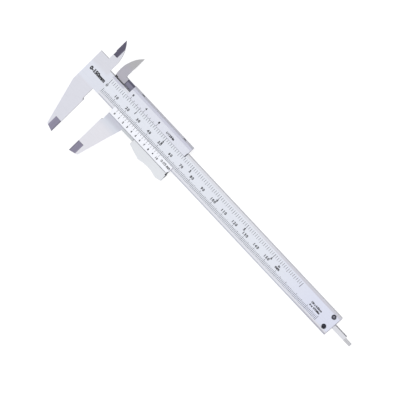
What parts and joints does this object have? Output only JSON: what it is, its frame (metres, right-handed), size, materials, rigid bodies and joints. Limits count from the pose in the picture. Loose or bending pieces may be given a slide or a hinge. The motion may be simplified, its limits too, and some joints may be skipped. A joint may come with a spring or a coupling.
{
  "type": "vernier caliper",
  "caption": "Vernier caliper with outside and inside jaws, a sliding double vernier with a sprung thumb clamp, and a depth rod that follows the slider.",
  "frame": {"origin": "centre of the bounding box on X and Y, on the slider's back face in Z, which is the surface that the caliper lies on", "axes": "+X along the beam towards the depth rod's tip, +Y towards the inside jaws, +Z out of the graduated face"},
  "size_m": [0.2462, 0.0774, 0.0065],
  "materials": {
    "satin_chrome_beam": "satin chrome over hardened stainless steel",
    "satin_chrome_slider": "satin chrome over hardened stainless steel",
    "lever_steel": "matte blasted stainless steel",
    "ground_steel": "fine ground stainless steel",
    "spring_steel": "drawn spring wire",
    "black_oxide": "blackened steel",
    "brass": "rolled brass"
  },
  "bodies": {
    "beam": {"main_beam": "satin_chrome_beam", "rod_stop_plate": "ground_steel", "stop_screw_upper": "black_oxide", "stop_screw_lower": "black_oxide"},
    "slider": {"slider": "satin_chrome_slider", "gib_strip": "brass", "gib_screw_left": "black_oxide", "gib_screw_right": "black_oxide", "depth_rod": "ground_steel", "rod_screw": "black_oxide", "lever_pin": "ground_steel", "clamp_spring": "spring_steel"},
    "lever": {"thumb_lever": "lever_steel"},
    "shoe": {"brake_shoe": "brass"}
  },
  "joints": [
    {"name": "slider_slide", "type": "slide", "parent": "beam", "child": "slider", "axis": [1, 0, 0], "range_m": [-0.01648, 0.1335]},
    {"name": "lever_press", "type": "hinge", "parent": "slider", "child": "lever", "pos_m": [-0.05295, -0.00231, 0.0034], "axis": [0, 0, 1], "range_deg": [0, 3.5], "stiffness_Nm_per_rad": 0.18, "springref_deg": -8.59, "deforming": ["clamp_spring"]},
    {"name": "shoe_lift", "type": "slide", "parent": "slider", "child": "shoe", "axis": [0, 1, 0], "range_m": [-0.00065, 0]}
  ],
  "couplings": [
    {"joint": "shoe_lift", "follows": "lever_press", "m_per_rad": -0.0105}
  ]
}
